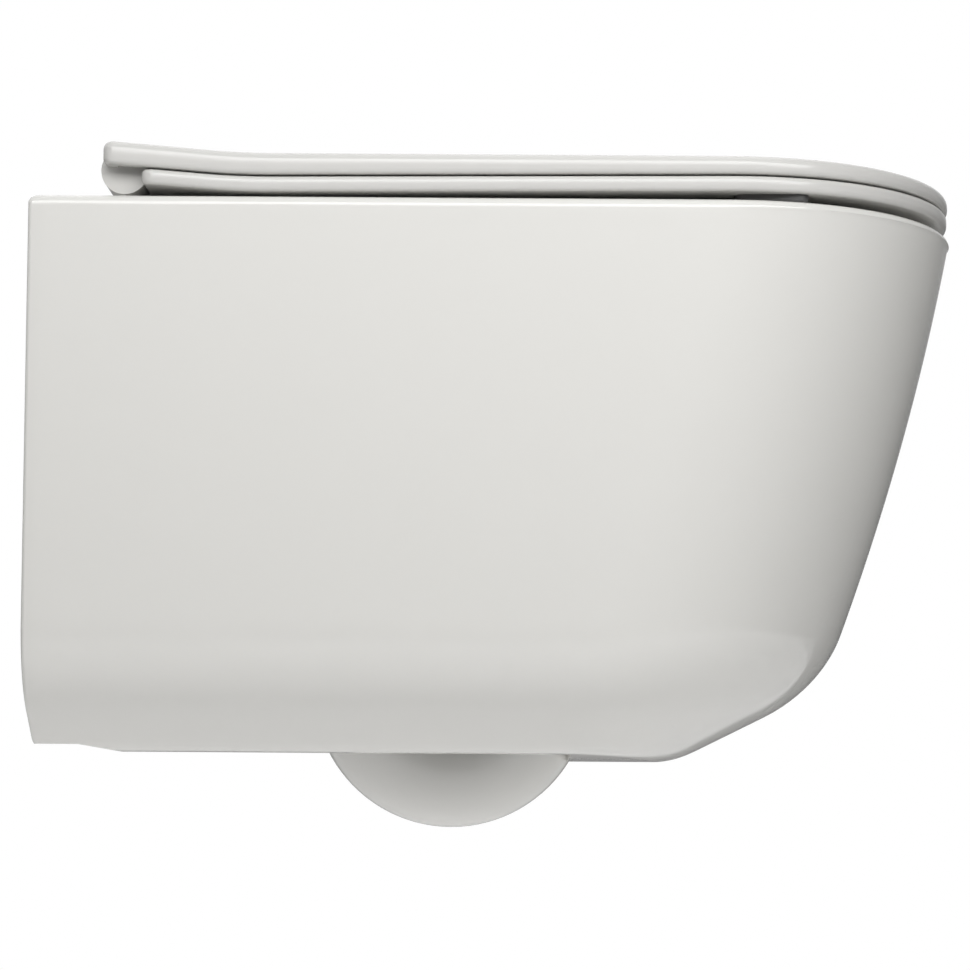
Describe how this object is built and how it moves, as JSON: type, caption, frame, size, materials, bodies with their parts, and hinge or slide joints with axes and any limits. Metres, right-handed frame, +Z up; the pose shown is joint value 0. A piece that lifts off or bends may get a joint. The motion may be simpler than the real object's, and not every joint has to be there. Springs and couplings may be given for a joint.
{
  "type": "wall hung toilet",
  "caption": "Wall hung toilet with a smooth shrouded ceramic pan, a D-shaped seat ring and a slim lid on soft-close hinges.",
  "frame": {"origin": "midpoint between the two wall studs, on the face of the wall", "axes": "+X from the wall to the front, +Y across the pan, +Z up"},
  "size_m": [0.539, 0.356, 0.3872],
  "materials": {
    "glaze": "gloss",
    "duroplast": "gloss",
    "soft_pad": "matt",
    "chromed_metal": "polished",
    "zinc_steel": "satin",
    "black_rubber": "matt",
    "nylon": "matt"
  },
  "bodies": {
    "pan": {"pan": "glaze", "hinge_base_pads": "soft_pad", "left_hinge_base": "chromed_metal", "right_hinge_base": "chromed_metal", "left_hinge_post": "chromed_metal", "right_hinge_post": "chromed_metal", "hinge_bolts": "zinc_steel", "grub_screws": "zinc_steel", "expansion_sleeves": "black_rubber", "sleeve_nuts": "nylon", "seat_pivot_pin": "zinc_steel", "lid_pivot_pin": "zinc_steel", "lid_damper_shaft": "zinc_steel", "seat_damper_shaft": "zinc_steel", "inlet_seal": "black_rubber", "stud_sleeves": "nylon", "stud_washers": "zinc_steel", "stud_nuts": "zinc_steel"},
    "seat": {"seat": "duroplast", "seat_buffers": "soft_pad", "seat_pivot_bush": "nylon", "seat_damper": "nylon"},
    "lid": {"lid": "duroplast", "lid_buffers": "soft_pad", "lid_pivot_bush": "nylon", "lid_damper": "nylon"}
  },
  "joints": [
    {"name": "seat_hinge", "type": "hinge", "parent": "pan", "child": "seat", "pos_m": [0.0525, 0, 0.096], "axis": [0, -1, 0], "range_deg": [0, 94]},
    {"name": "lid_hinge", "type": "hinge", "parent": "seat", "child": "lid", "pos_m": [0.0525, 0, 0.096], "axis": [0, -1, 0], "range_deg": [0, 92]}
  ]
}
